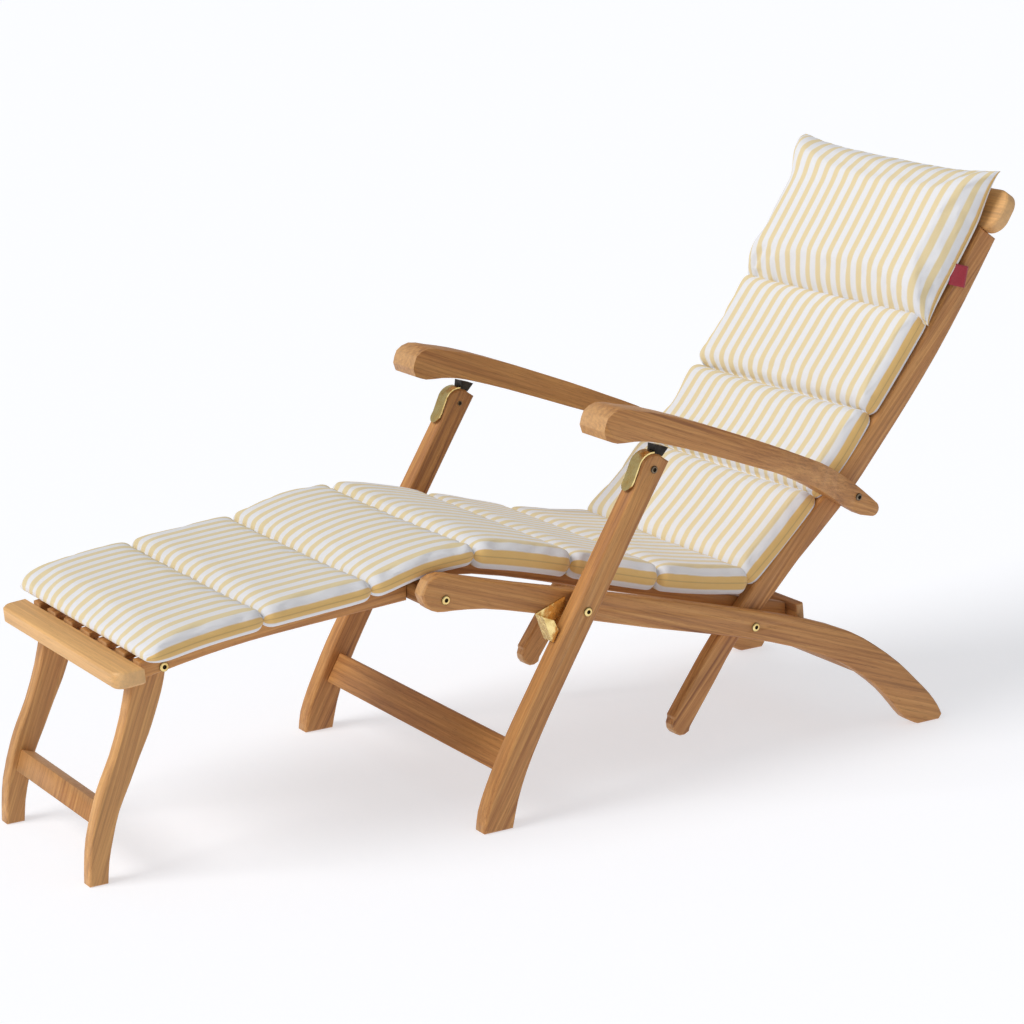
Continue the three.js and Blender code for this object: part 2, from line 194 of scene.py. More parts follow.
def makeTeakGroup():
    # year rings about a far axis, stretched streaks, fine pores and a slow change of tone, all along local X
    group, given, result = newGroup(
        "teakGrain",
        [("Vector", "NodeSocketVector", None), ("Facing", "NodeSocketVector", None),
         ("Seed", "NodeSocketFloat", 0.0), ("Tone", "NodeSocketFloat", 0.0),
         ("Pale", "NodeSocketFloat", 0.0)],
        [("Color", "NodeSocketColor"), ("Roughness", "NodeSocketFloat"), ("Height", "NodeSocketFloat")],
    )
    calc = partial(maths, group)
    place, seed = given["Vector"], given["Seed"]

    def grainNoise(name):
        # noise on the place scaled by its stretch, the fourth dimension set by the seed
        stretch, detail, rough, offset = grainNoises[name]
        inputs = {"Vector": vectorMaths(group, "MULTIPLY", place, stretch), "W": calc("ADD", seed, offset)}
        inputs.update({"Scale": 1.0, "Detail": detail, "Roughness": rough})
        return addNode(group, "ShaderNodeTexNoise", inputs, noise_dimensions="4D").outputs["Fac"]

    def laidOver(colour, mask, mark, tone):
        # tone mixed over colour by the mask times the mark's share
        return mixColours(group, calc("MULTIPLY", mask, markShare[mark]), colour, tone)

    slow, waver, streak, fine, pore = (grainNoise(name) for name in grainNoises)
    # rings: the fraction of the distance from the axis over the ring's width
    apart = apartOf(group, place)
    squares = []
    for side, wave, swing, middle in zip("YZ", ("SINE", "COSINE"), teak["axisSwing"], teak["axisMiddle"]):
        offset = calc("MULTIPLY_ADD", calc(wave, seed), swing, middle)
        squares.append(calc("POWER", calc("ADD", apart[side], offset), 2.0))
    bent = calc("MULTIPLY_ADD", waver, teak["ringBend"], calc("SQRT", calc("ADD", *squares)))
    turns = calc("FRACT", calc("DIVIDE", bent, teak["ringWidth"]))
    ring = rampOf(group, turns, [(0.0, 0.75), (0.12, 0.25), (0.6, 0.0), (1.0, 0.9)])
    lines = rampOf(group, fine, [(0.34, 1.0), (0.47, 0.0)])
    pores = rampOf(group, pore, [(0.3, 1.0), (0.36, 0.0)])
    # the sawn ends, where the surface faces along the grain, are paler
    ends = rampOf(group, calc("ABSOLUTE", apartOf(group, given["Facing"])["X"]), [(0.45, 0.0), (0.9, 1.0)])

    toned = rampOf(group, streak, [(0.30, teak["dark"]), (0.45, teak["mid"]), (0.64, teak["pale"])])
    toned = laidOver(toned, ring, "ring", teak["dark"])
    toned = laidOver(toned, rampOf(group, slow, [(0.36, 0.0), (0.62, 1.0)]), "slow", teak["pale"])
    toned = laidOver(toned, lines, "line", teak["dark"])
    toned = laidOver(toned, pores, "pore", teak["poreTone"])
    # the listed pieces made paler and yellower over every face
    toned = laidOver(toned, given["Pale"], "pale", teak["paleTone"])
    toned = laidOver(toned, ends, "end", teak["endGrain"])
    value = calc("MULTIPLY_ADD", given["Pale"], teak["paleLift"], calc("ADD", given["Tone"], 1.0))
    shade = addNode(group, "ShaderNodeHueSaturation", {"Color": toned, "Value": value})
    group.links.new(shade.outputs["Color"], result["Color"])

    rough = calc("MULTIPLY_ADD", streak, markRough["streak"], teak["roughness"])
    group.links.new(calc("MULTIPLY_ADD", pores, markRough["pore"], rough), result["Roughness"])
    height = 0.0
    for mark, mask in (("fine", fine), ("pore", pores), ("ring", ring)):
        height = calc("MULTIPLY_ADD", mask, markHeight[mark], height)
    kept = calc("MULTIPLY_ADD", ends, -teak["endSmooth"], 1.0)
    group.links.new(calc("MULTIPLY", height, kept), result["Height"])
    return group


teakGroup = makeTeakGroup()


def grainTurn(node):
    # the turn that lays the piece's own longest direction on local X, found from its corners' spread
    corners = np.empty(len(node.data.vertices) * 3, np.float32)
    node.data.vertices.foreach_get("co", corners)
    corners = corners.reshape(-1, 3)
    sizes = corners.max(0) - corners.min(0)
    crossPiece = 0.3   # a rail or board this wide runs across the chair
    if sizes[0] > crossPiece:
        return Matrix.Identity(3)
    spread = corners - (corners.max(0) + corners.min(0)) / 2
    along = np.linalg.svd(spread[:, 1:] - spread[:, 1:].mean(0), full_matrices=False)[2][0]
    along = along * (1.0 if along[0] > 0 else -1.0)
    return Matrix(((0, along[0], along[1]), (-1, 0, 0), (0, -along[1], along[0])))


def teakMaterial(name, node, index):
    # teak with its grain along this piece, and its own board seed and tone
    material, tree, shader = newMaterial("teak_" + name)
    turn = grainTurn(node).to_euler()
    places = addNode(tree, "ShaderNodeTexCoord").outputs
    inputs = {
        "Seed": 3.7 * index + 0.9,
        "Tone": teak["toneSpread"] * math.sin(5.1 * index),
        "Pale": teak["paler"].get(name, 0.0),
    }
    for source, target in (("Object", "Vector"), ("Normal", "Facing")):
        turned = addNode(tree, "ShaderNodeMapping", {"Vector": places[source], "Rotation": turn})
        inputs[target] = turned.outputs["Vector"]
    grain = addNode(tree, "ShaderNodeGroup", inputs, node_tree=teakGroup).outputs
    tree.links.new(grain["Color"], shader.inputs["Base Color"])
    tree.links.new(grain["Roughness"], shader.inputs["Roughness"])
    tree.links.new(bumpOf(tree, grain["Height"], 0.25, teak["relief"]), shader.inputs["Normal"])
    shader.inputs["Specular IOR Level"].default_value = 0.42
    shader.inputs["Coat Roughness"].default_value = 0.35
    shader.inputs["Coat Weight"].default_value = teak["coat"]
    return material


# ---------- metals ----------
metals = {
    "brass": {
        "bright": (0.98, 0.77, 0.34), "dull": (0.70, 0.48, 0.17),
        "roughness": 0.17, "metallic": 1.0, "wave": 0.45,
    },
    "dark_steel": {
        "bright": (0.05, 0.042, 0.036), "dull": (0.02, 0.017, 0.014),
        "roughness": 0.32, "metallic": 0.8, "wave": 0.1,
    },
    "bronze": {
        "bright": (0.30, 0.235, 0.16), "dull": (0.12, 0.085, 0.055),
        "roughness": 0.3, "metallic": 0.9, "wave": 0.1,
    },
}
# waves to the metre of each mark on a metal, and the depth of its bump
metalMarks = {"cloud": 75.0, "scratch": 900.0, "scratchDeep": 0.0003, "hammer": 85.0, "hammerDeep": 0.003}
boltLook = {
    "socket": 0.0031,            # radius of the round socket
    "softEdge": 0.08,
    "rimShare": (0.86, 0.97),    # the painted shadow line at the rim starts and is full at these shares of the radius
    "rimShadow": 0.75,
    # painted shade: the dark colour standing in for the shade inside the socket
    "socketShade": (0.022, 0.015, 0.008),
}


def makeSmudgeGroup():
    # cloudy mask of handling marks and a fine scratch height
    group, given, result = newGroup(
        "metalSmudge",
        [("Vector", "NodeSocketVector", None)],
        [("Mask", "NodeSocketFloat"), ("Height", "NodeSocketFloat")],
    )
    cloud = noiseOver(group, given["Vector"], metalMarks["cloud"], 4.0)
    group.links.new(rampOf(group, cloud, [(0.35, 0.0), (0.68, 1.0)]), result["Mask"])
    group.links.new(noiseOver(group, given["Vector"], metalMarks["scratch"], 2.0), result["Height"])
    return group


smudgeGroup = makeSmudgeGroup()


def boltShade(tree, place, node):
    # mask of a bolt's painted socket shade and painted rim shadow line, by the distance from its own axis as
    # a share of its radius
    low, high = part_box(node)
    axis = (0.0, (low[1] + high[1]) / 2, (low[2] + high[2]) / 2)
    flat = vectorMaths(tree, "MULTIPLY", vectorMaths(tree, "SUBTRACT", place, axis), (0.0, 1.0, 1.0))
    distance = addNode(tree, "ShaderNodeVectorMath", {0: flat}, operation="LENGTH").outputs["Value"]
    reach = (high[2] - low[2]) / 2
    socket = boltLook["socket"] / reach
    rimStart, rimEnd = boltLook["rimShare"]
    stops = [(socket, 1.0), (socket + boltLook["softEdge"], 0.0)]
    stops += [(rimStart, 0.0), (rimEnd, boltLook["rimShadow"])]
    return rampOf(tree, maths(tree, "DIVIDE", distance, reach), stops)


def metalMaterial(name, node=None):
    # bright metal dulled in patches and slightly hammered; on a bolt, painted shade darkens the socket and a
    # painted shadow line darkens the rim
    look = metals[name]
    material, tree, shader = newMaterial(name if node is None else name + "_" + node)
    place = addNode(tree, "ShaderNodeTexCoord").outputs["Object"]
    smudge = addNode(tree, "ShaderNodeGroup", {"Vector": place}, node_tree=smudgeGroup).outputs
    colour = mixColours(tree, smudge["Mask"], look["bright"], look["dull"])
    if node is not None:
        # painted shade in the bolt's socket and a painted shadow line round its rim
        colour = mixColours(tree, boltShade(tree, place, node), colour, boltLook["socketShade"])
    tree.links.new(colour, shader.inputs["Base Color"])
    rough = maths(tree, "MULTIPLY_ADD", smudge["Mask"], 0.2, look["roughness"])
    tree.links.new(rough, shader.inputs["Roughness"])
    waves = noiseOver(tree, place, metalMarks["hammer"], 1.0)
    hammered = bumpOf(tree, waves, look["wave"], metalMarks["hammerDeep"])
    scratched = bumpOf(tree, smudge["Height"], 0.1, metalMarks["scratchDeep"], hammered)
    tree.links.new(scratched, shader.inputs["Normal"])
    shader.inputs["Metallic"].default_value = look["metallic"]
    return material


# ---------- striped canvas ----------
canvas = {
    "yellow": (0.72, 0.58, 0.315),
    "sideShade": (0.74, 0.455, 0.125),   # painted shade: the yellow stripes near the side seams, where the cover turns under, darker and deeper, standing in for the shade on the cushion's sides
    "sideShadeWide": 0.019,
    "white": (0.74, 0.74, 0.765),
    "worn": (0.62, 0.56, 0.48),
    "bright": (0.98, 0.94, 0.86),
    "stitch": (0.42, 0.27, 0.11),
    "pitch": 0.0276,                # one yellow and one white stripe
    "share": 0.46,                  # of the pitch that is yellow
    "soft": 0.05,
    "waver": 0.0018,
    "thread": 0.0011,
    "threadDeep": 0.0004,
    "slubs": (900.0, 90.0, 1.0),    # thick and thin stretches of thread to the metre, across and along
    "seamWide": 0.0011,
    "crease": 60.0,                 # soft creases to the metre
    "creaseDeep": 0.002,
    # how strongly each mark covers the dye, and its height as a share of the thread's depth
    "markShare": {"weave": 0.10, "slub": 0.10, "seam": 0.45},
    "markHeight": {"weave": 0.35, "slub": 0.4, "seam": -1.2},
}


def makeCanvasGroup():
    # lengthwise stripes from the cover's own u, a plain weave from u and v, and a stitched seam at u = Edge,
    # with painted shade darkening the yellow stripes near that seam
    group, given, result = newGroup(
        "stripedCanvas",
        [("UV", "NodeSocketVector", None), ("Object", "NodeSocketVector", None),
         ("Edge", "NodeSocketFloat", 0.25)],
        [("Color", "NodeSocketColor"), ("Height", "NodeSocketFloat"), ("Roughness", "NodeSocketFloat")],
    )
    calc = partial(maths, group)
    apart = apartOf(group, given["UV"])
    waver = noiseOver(group, given["Object"], 24.0, 2.0)
    shift = calc("MULTIPLY_ADD", waver, canvas["waver"], -canvas["waver"] / 2)
    phase = calc("PINGPONG", calc("ADD", apart["X"], shift), canvas["pitch"] / 2)
    edge = canvas["share"] * canvas["pitch"] / 2
    soft = canvas["soft"] * canvas["pitch"]
    stripe = addNode(
        group, "ShaderNodeMapRange",
        {"Value": phase, "From Min": edge - soft, "From Max": edge + soft, "To Min": 1.0, "To Max": 0.0},
        interpolation_type="SMOOTHSTEP",
    ).outputs["Result"]

    def threadWave(distance):
        # one hump per thread
        return calc("ABSOLUTE", calc("SINE", calc("MULTIPLY", distance, math.pi / canvas["thread"])))

    weave = calc("MULTIPLY", threadWave(apart["X"]), threadWave(apart["Y"]))
    slub = noiseOver(group, vectorMaths(group, "MULTIPLY", given["UV"], canvas["slubs"]), 1.0, 2.0)
    fromEdge = calc("ABSOLUTE", calc("SUBTRACT", apart["X"], given["Edge"]))
    # painted shade of the cushion's sides: near the side seam the yellow stripes take a darker, deeper
    # yellow
    sideShade = calc("LESS_THAN", fromEdge, canvas["sideShadeWide"])
    seam = calc("LESS_THAN", fromEdge, canvas["seamWide"])
    yellow = mixColours(group, sideShade, canvas["yellow"], canvas["sideShade"])
    dyed = mixColours(group, stripe, canvas["white"], yellow)
    height = 0.0
    for mark, mask, tone in (("weave", weave, "worn"), ("slub", slub, "bright"), ("seam", seam, "stitch")):
        dyed = mixColours(group, calc("MULTIPLY", mask, canvas["markShare"][mark]), dyed, canvas[tone])
        height = calc("MULTIPLY_ADD", mask, canvas["markHeight"][mark], height)
    group.links.new(dyed, result["Color"])
    group.links.new(height, result["Height"])
    group.links.new(calc("MULTIPLY_ADD", slub, 0.12, 0.82), result["Roughness"])
    return group


canvasGroup = makeCanvasGroup()


def canvasMaterial(name, edge):
    # the striped cover of one cushion, its side seam at the cover width `edge`
    material, tree, shader = newMaterial(name)
    places = addNode(tree, "ShaderNodeTexCoord").outputs
    inputs = {"UV": places["UV"], "Object": places["Object"], "Edge": edge}
    cover = addNode(tree, "ShaderNodeGroup", inputs, node_tree=canvasGroup).outputs
    tree.links.new(cover["Color"], shader.inputs["Base Color"])
    tree.links.new(cover["Roughness"], shader.inputs["Roughness"])
    creases = noiseOver(tree, places["Object"], canvas["crease"], 3.0)
    creased = bumpOf(tree, creases, 0.25, canvas["creaseDeep"])
    woven = bumpOf(tree, cover["Height"], 0.35, canvas["threadDeep"], creased)
    tree.links.new(woven, shader.inputs["Normal"])
    shader.inputs["Sheen Weight"].default_value = 0.25
    shader.inputs["Sheen Roughness"].default_value = 0.6
    shader.inputs["Specular IOR Level"].default_value = 0.2
    return material


# ---------- finishes to the frame's own pieces ---------------
edging = {"weld": 0.00005, "angle": 24.0, "segments": 2}


def easeEdges(node, width):
    # joins the loose triangles, rounds the arrises and shades the faces smooth; the vertices stay as made
    weld = node.modifiers.new("weld", "WELD")
    weld.merge_threshold = edging["weld"]
    bevel = node.modifiers.new("arris", "BEVEL")
    bevel.width = width
    bevel.segments = edging["segments"]
    bevel.limit_method = "ANGLE"
    bevel.angle_limit = math.radians(edging["angle"])
    bevel.harden_normals = True
    node.data.polygons.foreach_set("use_smooth", np.ones(len(node.data.polygons), bool))


metalMade = {name: metalMaterial(name) for name in ("brass", "dark_steel")}
bronzeNodes = ("post_pin_left", "post_pin_right", "arm_bolt_left", "arm_bolt_right")
for index, (name, node) in enumerate(sorted(nodes.items())):
    slot = slotOf[name]
    if slot == "teak":
        look = teakMaterial(name, node, index)
        easeEdges(node, teak["edgeRound"])
    elif name in bronzeNodes:
        look = metalMaterial("bronze", name)
    elif name.rsplit("_", 1)[0].endswith("_bolt"):
        look = metalMaterial("brass", name)
    elif slot in metalMade:
        look = metalMade[slot]
    else:
        continue
    for materialSlot in node.material_slots:
        materialSlot.link = "OBJECT"
        materialSlot.material = look
print("frame pieces finished")


# ---------- cushions ----------
mm = 0.001
shiftY = 0.01175   # the chair's middle is over the origin
cushion = {
    "half": 0.2385,         # half width at the side seam
    "pinchIn": 0.009,       # how far the sides pull in at a cross seam
    "pinchReach": 0.009,
    "middle": 0.004,        # side seam above the line of the cross seams
    "thick": 0.0215,        # from the side seam up
    "under": 0.0215,        # and down
    "round": 0.017,         # length over which a panel rounds down to a cross seam
    "sideRound": 0.013,     # and to its side seam
    "power": 2.3,
    "rest": 0.06,           # share of the thickness left at a cross seam
    "crown": 0.06,
    "pucker": 0.0019,
    "puckerReach": 0.011,
    "puckerWave": 0.041,    # length of the slower of the two waves of the pucker
    "across": 132,          # steps from side to side
    "along": 34,            # steps in a panel
    "crowdAcross": 0.80,    # how far the steps draw in towards the sides
    "crowdAlong": 0.86,     # and towards the cross seams
    "firstRound": None,     # a longer round at the first and last ends, where there is no neighbour
    "lastRound": None,
    "lift": (0, 0, 0),      # mean, twist and ears of the last end's edge, off its base line
    "liftReach": 0.10,
    "dip": 0.0,             # how far the last edge sags between its two corners
    "dipReach": 0.09,
    "cap": 0.005,           # furthest that the cloth run moves a point
    "spare": 0.012,         # how much larger than its pad the cover is cut
}
cloth = {
    "frames": 16, "quality": 5, "mass": 0.25, "pressure": 4.0,
    "stretch": 25.0, "shear": 12.0, "bend": 0.6,
}


def pathThrough(knots, count):
    # smooth curve through side-view knots, at count + 1 equal steps of the knot number: a cubic through each
    # two neighbours, its slopes taken from the knots before and after them
    knots = np.asarray(knots, float)
    padded = np.vstack([2 * knots[0] - knots[1], knots, 2 * knots[-1] - knots[-2]])
    steps = np.linspace(0, len(knots) - 1, count + 1)
    start = np.minimum(steps.astype(int), len(knots) - 2)
    part = (steps - start)[:, None]
    before, here, there, after = (padded[start + k] for k in range(4))
    slope = there - before
    bend = 2 * before - 5 * here + 4 * there - after
    twist = 3 * here - before - 3 * there + after
    return 0.5 * (2 * here + slope * part + bend * part**2 + twist * part**3)


def roundOff(distance, reach, power):
    # quarter round: 0 at the seam, 1 from `reach` on
    left = 1 - np.clip(distance / reach, 0, 1)
    return (1 - left**power) ** (1 / power)


def crowd(count, amount):
    # 0 to 1 in equal steps, drawn in towards both ends by a sine
    steps = np.linspace(0, 1, count + 1)
    return steps - amount * np.sin(2 * np.pi * steps) / (2 * np.pi)


def rowsAlong(seams, look):
    # a cushion's rows: the panel number, side-view place, direction and length along of each, and the length
    # along at each cross seam
    panels = (len(seams) - 1) // 2
    steps = crowd(look["along"], look["crowdAlong"])
    row = np.concatenate([panel + steps[(1 if panel else 0):] for panel in range(panels)])
    fine = pathThrough(seams, 40 * (len(seams) - 1))
    fineRow = np.linspace(0, panels, len(fine))
    slope = np.gradient(fine, axis=0)
    slope /= np.linalg.norm(slope, axis=1)[:, None]
    length = np.concatenate([[0], np.cumsum(np.linalg.norm(np.diff(fine, axis=0), axis=1))])
    path = np.stack([np.interp(row, fineRow, fine[:, k]) for k in (0, 1)], 1)
    tangent = np.stack([np.interp(row, fineRow, slope[:, k]) for k in (0, 1)], 1)
    tangent /= np.linalg.norm(tangent, axis=1)[:, None]
    along = np.interp(row, fineRow, length)
    marks = np.interp(np.arange(panels + 1), fineRow, length)
    return row, path, tangent, along, marks


def padForm(seams, look):
    # points of the upper and the lower surface, and each row's length along and distance to its nearest
    # cross seam: the level above the path and the thickness each fall from the middle of a panel to its
    # cross seams by a quarter round, and the thickness falls to the side seams too
    row, path, tangent, along, marks = rowsAlong(seams, look)
    normal = np.stack([-tangent[:, 1], tangent[:, 0]], 1)
    toSeam = np.abs(along[:, None] - marks[None, :]).min(1)
    toEnd = marks[-1] - along
    panelOf = np.clip(row.astype(int), 0, len(marks) - 2)
    inPanel = np.clip((along - marks[panelOf]) / (marks[panelOf + 1] - marks[panelOf]), 0, 1)
    share = 2 * crowd(look["across"], look["crowdAcross"]) - 1
    half = look["half"] - look["pinchIn"] * np.exp(-((toSeam / look["pinchReach"]) ** 1.5))
    across = half[:, None] * share[None, :]
    side = roundOff(half[:, None] - np.abs(across), look["sideRound"], look["power"])
    fall = roundOff(toSeam, look["round"], look["power"])
    for reach, distance in ((look["firstRound"], along - marks[0]), (look["lastRound"], toEnd)):
        if reach:
            fall = np.where(distance < reach, np.minimum(fall, roundOff(distance, reach, 2.0)), fall)
    fall = (look["rest"] + (1 - look["rest"]) * fall)[:, None]
    crown = 1 + look["crown"] * np.sin(np.pi * inPanel)[:, None] * np.cos(np.pi * share / 2)[None, :]
    # the cover puckers along a cross seam: a wave as long as the stripes, and a slower one that is shifted
    # from panel to panel
    quick = np.cos(2 * np.pi * across / canvas["pitch"])
    slow = 0.5 * np.sin(2 * np.pi * across / look["puckerWave"] + 2.0 + 1.3 * panelOf[:, None])
    pucker = look["pucker"] * np.exp(-toSeam / look["puckerReach"])[:, None] * (quick + slow) * side
    level = look["middle"] * roundOff(toSeam, 1.3 * look["round"], 2.0)[:, None] * np.ones_like(across)
    mean, twist, ears = look["lift"]
    near = np.clip(1 - toEnd / look["liftReach"], 0, 1)
    near = (near * near * (3 - 2 * near))[:, None]
    level = level + near * (mean - twist * share + ears * np.abs(share) ** 8)[None, :]
    sag = np.clip(1 - toEnd / look["dipReach"], 0, 1)[:, None] ** 2
    dip = look["dip"] * sag * (1 - np.abs(share) ** 4)[None, :]

    def placed(height):
        y = path[:, 0:1] + normal[:, 0:1] * height - tangent[:, 0:1] * dip + shiftY
        z = path[:, 1:2] + normal[:, 1:2] * height - tangent[:, 1:2] * dip
        return np.stack([across, y, z], -1)

    upper = placed(level + (look["thick"] * crown * fall * side + pucker))
    lower = placed(level - look["under"] * fall * side)
    return upper, lower, along, toSeam


def ringFaces(rows, around, columns):
    # four-sided faces between the rows' rings, and the first and last rings closed straight across
    row = np.arange(rows - 1)[:, None] * around
    here = np.arange(around)[None, :]
    there = (here + 1) % around
    far = row + around
    walls = np.stack([row + here, row + there, far + there, far + here], -1).reshape(-1, 4)
    over = np.arange(columns - 1)

    def below(column):
        # the point of the ring under this one; the two side points are their own
        return np.where((column == 0) | (column == columns - 1), column, around - column)

    first = np.stack([below(over), below(over + 1), over + 1, over], -1)
    ends = np.concatenate([first, (rows - 1) * around + first[:, ::-1]])
    return walls.tolist() + [list(dict.fromkeys(face)) for face in ends.tolist()]


def puffUp(piece, held, look):
    # a short cloth run: the cover is cut a little large, held at its seams and blown up, and each point's
    # move is eased to stay within the cap
    mesh = piece.data
    before = np.empty(len(mesh.vertices) * 3, np.float32)
    mesh.vertices.foreach_get("co", before)
    pins = piece.vertex_groups.new(name="held")
    pins.add(np.flatnonzero(held).tolist(), 1.0, "REPLACE")
    run = piece.modifiers.new("puff", "CLOTH")
    rules = run.settings
    rules.quality = cloth["quality"]
    rules.mass = cloth["mass"]
    rules.vertex_group_mass = "held"
    rules.use_pressure = True
    rules.uniform_pressure_force = cloth["pressure"]
    rules.shrink_min = -look["spare"]
    rules.shrink_max = -look["spare"]
    rules.tension_stiffness = cloth["stretch"]
    rules.compression_stiffness = cloth["stretch"]
    rules.shear_stiffness = cloth["shear"]
    rules.bending_stiffness = cloth["bend"]
    rules.effector_weights.gravity = 0.0
    run.collision_settings.use_collision = False
    for number in range(1, cloth["frames"] + 1):
        bpy.context.scene.frame_set(number)
    after = np.empty_like(before)
    puffed = piece.evaluated_get(bpy.context.evaluated_depsgraph_get()).data
    puffed.vertices.foreach_get("co", after)
    piece.modifiers.remove(run)
    piece.vertex_groups.remove(pins)
    bpy.context.scene.frame_set(1)
    moved = (after - before).reshape(-1, 3)
    length = np.linalg.norm(moved, axis=1, keepdims=True)
    moved *= look["cap"] * np.tanh(length / look["cap"]) / np.maximum(length, 1e-9)
    mesh.vertices.foreach_set("co", (before.reshape(-1, 3) + moved).ravel())
    mesh.update()
    print("puffed", piece.name, "furthest", round(float(length.max()), 4))


def cushionCover(name, seams, ownLook):
    # closed padded cover over a side-view path, blown up by the cloth run, with u from side to side and v
    # along
    look = dict(cushion, **ownLook)
    upper, lower, along, toSeam = padForm(np.array(seams) * mm, look)
    rows, columns = upper.shape[:2]
    # ring of a row: along the top from -X to +X, then back under, sharing the two side points
    ring = np.concatenate([upper, lower[:, -2:0:-1]], 1)
    around = ring.shape[1]
    mesh = bpy.data.meshes.new(name)
    mesh.from_pydata(ring.reshape(-1, 3).tolist(), [], ringFaces(rows, around, columns))
    # u is the distance over the top of a middle row from the cushion's middle, the same above and below
    steps = np.linalg.norm(np.diff(upper[look["along"] // 2], axis=0), axis=1)
    over = np.concatenate([[0], np.cumsum(steps)])
    over -= over[-1] / 2
    u = np.abs(np.concatenate([over, over[-2:0:-1]]))
    uv = np.stack(np.broadcast_arrays(u[None, :], along[:, None]), -1).reshape(-1, 2)
    corner = np.empty(len(mesh.loops), np.int32)
    mesh.loops.foreach_get("vertex_index", corner)
    layer = mesh.uv_layers.new(name="UVMap")
    layer.data.foreach_set("uv", uv[corner].astype(np.float32).ravel())
    mesh.polygons.foreach_set("use_smooth", np.ones(len(mesh.polygons), bool))
    mesh.update()
    piece = bpy.data.objects.new(name, mesh)
    bpy.context.scene.collection.objects.link(piece)
    mesh.materials.append(canvasMaterial("canvas_" + name, float(over[-1])))
    # held: the cross seams, the side seams and the whole underside, which lies on the slats
    held = np.zeros((rows, around), bool)
    held[toSeam < 0.1 * mm] = True
    held[:, columns - 1:] = True
    held[:, 0] = True
    puffUp(piece, held.ravel(), look)
    return piece


# knots of each cushion's seam line in Y and Z, in mm: every other one is a cross seam, the rest lie between
footSeams = [[-793, 358], [-700, 375], [-600, 386], [-507, 394], [-415, 403], [-322, 424], [-231, 431]]
seatSeams = [[-231, 431], [-141, 411], [-51, 387], [35, 361], [120, 338], [212, 318], [306, 303]]
backSeams = [[306, 303], [375, 363], [444, 431], [502, 489], [556, 560], [614, 635], [673, 714]]
pillowSeams = [[667, 703], [754, 830], [824, 948]]
footLook = {"firstRound": 0.046, "middle": 0.002, "thick": 0.0185, "under": 0.0155}
seatLook = {"middle": 0.002}
backLook = {"middle": 0.009}
pillowLook = {
    "half": 0.2425, "pinchIn": -0.004, "pinchReach": 0.03, "middle": 0.010, "thick": 0.050, "under": 0.020,
    "round": 0.062, "sideRound": 0.036, "power": 2.0, "rest": 0.0, "pucker": 0.0022, "along": 60,
    "lastRound": 0.11, "lift": (0.018, 0.015, 0.007), "dip": 0.011, "cap": 0.007, "spare": 0.014,
}
footCushion = cushionCover("foot_cushion_cover", footSeams, footLook)
seatCushion = cushionCover("seat_cushion_cover", seatSeams, seatLook)
backCushion = cushionCover("back_cushion_cover", backSeams, backLook)
headPillow = cushionCover("head_pillow_cover", pillowSeams, pillowLook)
covers = {
    "footrest_cushion": footCushion,
    "seat_cushion": seatCushion,
    "back_cushion": backCushion,
    "head_pillow": headPillow,
}
for node, piece in covers.items():
    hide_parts(node)
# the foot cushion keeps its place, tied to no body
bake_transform(footCushion)
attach(seatCushion, "seat_frame")
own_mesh(seatCushion)
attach(backCushion, "back_frame")
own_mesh(backCushion)
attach(headPillow, "back_frame")


# ---------- red tab in the pillow's side seam ----------
tab = {
    "wide": 0.036, "tall": 0.037, "thick": 0.0007, "bow": 0.0016, "steps": 8, "rib": 0.0012,
    "red": (0.42, 0.012, 0.035), "deep": (0.28, 0.006, 0.022), "bright": (0.55, 0.05, 0.07),
    "corner": (0.2415, 0.719 + shiftY, 0.805), "down": (0, -0.19, -0.98), "out": (0.05, 0.97, -0.26),
}


def tabMaterial():
    # plain red ribbon with a fine rib
    material, tree, shader = newMaterial("red_ribbon")
    place = addNode(tree, "ShaderNodeTexCoord").outputs["Object"]
    turns = maths(tree, "MULTIPLY", apartOf(tree, place)["Z"], math.pi / tab["rib"])
    rib = maths(tree, "ABSOLUTE", maths(tree, "SINE", turns))
    blotch = noiseOver(tree, place, 300.0, 3.0)
    shade = mixColours(tree, blotch, tab["red"], tab["deep"])
    shade = mixColours(tree, maths(tree, "MULTIPLY", rib, 0.25), shade, tab["bright"])
    tree.links.new(shade, shader.inputs["Base Color"])
    tree.links.new(maths(tree, "MULTIPLY_ADD", blotch, 0.15, 0.7), shader.inputs["Roughness"])
    tree.links.new(bumpOf(tree, rib, 0.4, 0.0003), shader.inputs["Normal"])
    shader.inputs["Sheen Weight"].default_value = 0.3
    return material


def ribbonTab(name):
    # a flat ribbon, `wide` along out and `tall` along down from its corner, bowed a little in the middle
    side = np.linspace(0, 1, tab["steps"] + 1)
    outShare, downShare = np.meshgrid(side, side)
    bow = tab["bow"] * np.sin(np.pi * outShare) * np.sin(np.pi * downShare * 0.9)
    down, out = (np.array(tab[way], float) / np.linalg.norm(tab[way]) for way in ("down", "out"))
    sheet = (
        np.array(tab["corner"]) + outShare[..., None] * tab["wide"] * out
        + downShare[..., None] * tab["tall"] * down + bow[..., None] * np.cross(out, down)
    )
    index = np.arange(outShare.size).reshape(outShare.shape)
    quads = np.stack([index[:-1, :-1], index[:-1, 1:], index[1:, 1:], index[1:, :-1]], -1).reshape(-1, 4)
    mesh = bpy.data.meshes.new(name)
    mesh.from_pydata(sheet.reshape(-1, 3).tolist(), [], quads.tolist())
    mesh.polygons.foreach_set("use_smooth", np.ones(len(mesh.polygons), bool))
    mesh.materials.append(tabMaterial())
    piece = bpy.data.objects.new(name, mesh)
    bpy.context.scene.collection.objects.link(piece)
    wall = piece.modifiers.new("thickness", "SOLIDIFY")
    wall.thickness = tab["thick"]
    wall.offset = 0.0
    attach(piece, "back_frame")


ribbonTab("side_tab")
print("cushions made")


